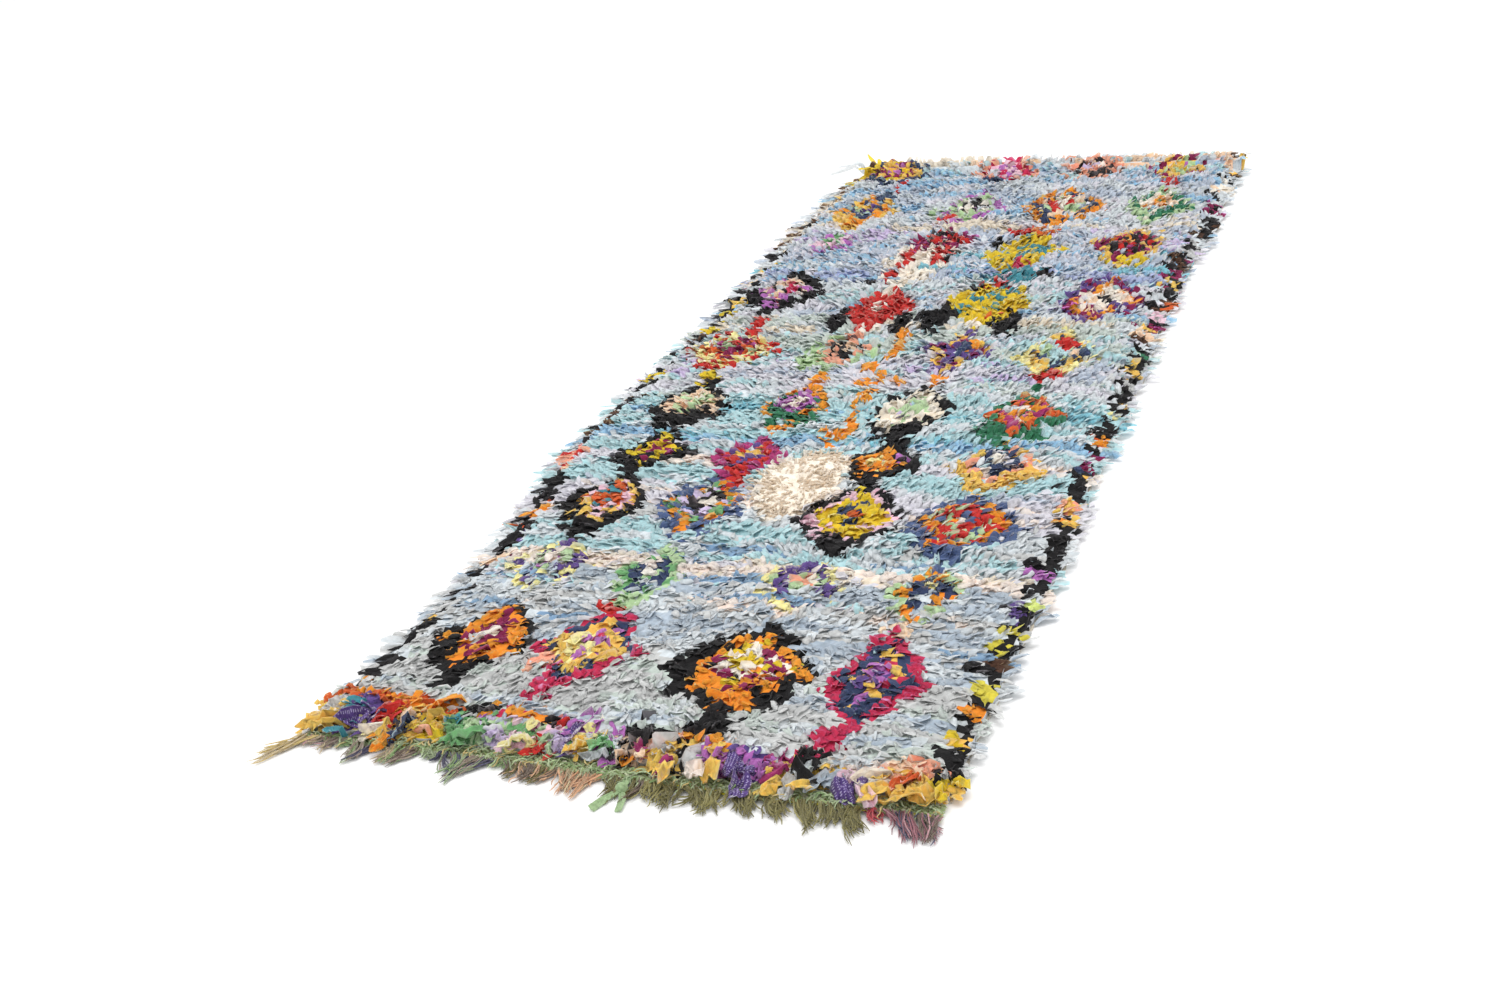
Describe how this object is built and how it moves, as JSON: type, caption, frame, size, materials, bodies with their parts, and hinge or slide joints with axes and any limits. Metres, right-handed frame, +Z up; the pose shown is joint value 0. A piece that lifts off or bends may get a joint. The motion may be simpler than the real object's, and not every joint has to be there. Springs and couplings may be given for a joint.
{
  "type": "boucherouite rug",
  "caption": "Long shag rug of knotted rag strips with rows of small lozenges on a pale blue field, lying flat, with a woven heading and cut fringe at the front end.",
  "frame": {"origin": "the middle of the rug's underside, halfway between the tips that reach furthest, on the surface it lies on", "axes": "+Z up from the floor, +Y along the rug's length away from its fringed end, +X across its width"},
  "size_m": [1.16, 3.11, 0.038],
  "materials": {
    "rag_pile": "torn strips of cotton jersey and knitwear, pale blue, aqua and grey, with motifs of many colours",
    "warp_fringe": "plain woven heading of twisted green rag, and cut warp yarn of olive, taupe and mauve wool",
    "back_heading": "plain woven heading, pale orange and cream",
    "green_rag": "strip of sage green cotton, knotted"
  },
  "bodies": {
    "root": {"rag_pile": "rag_pile", "front_heading": "warp_fringe", "back_heading": "back_heading", "green_tie": "green_rag"}
  },
  "joints": []
}
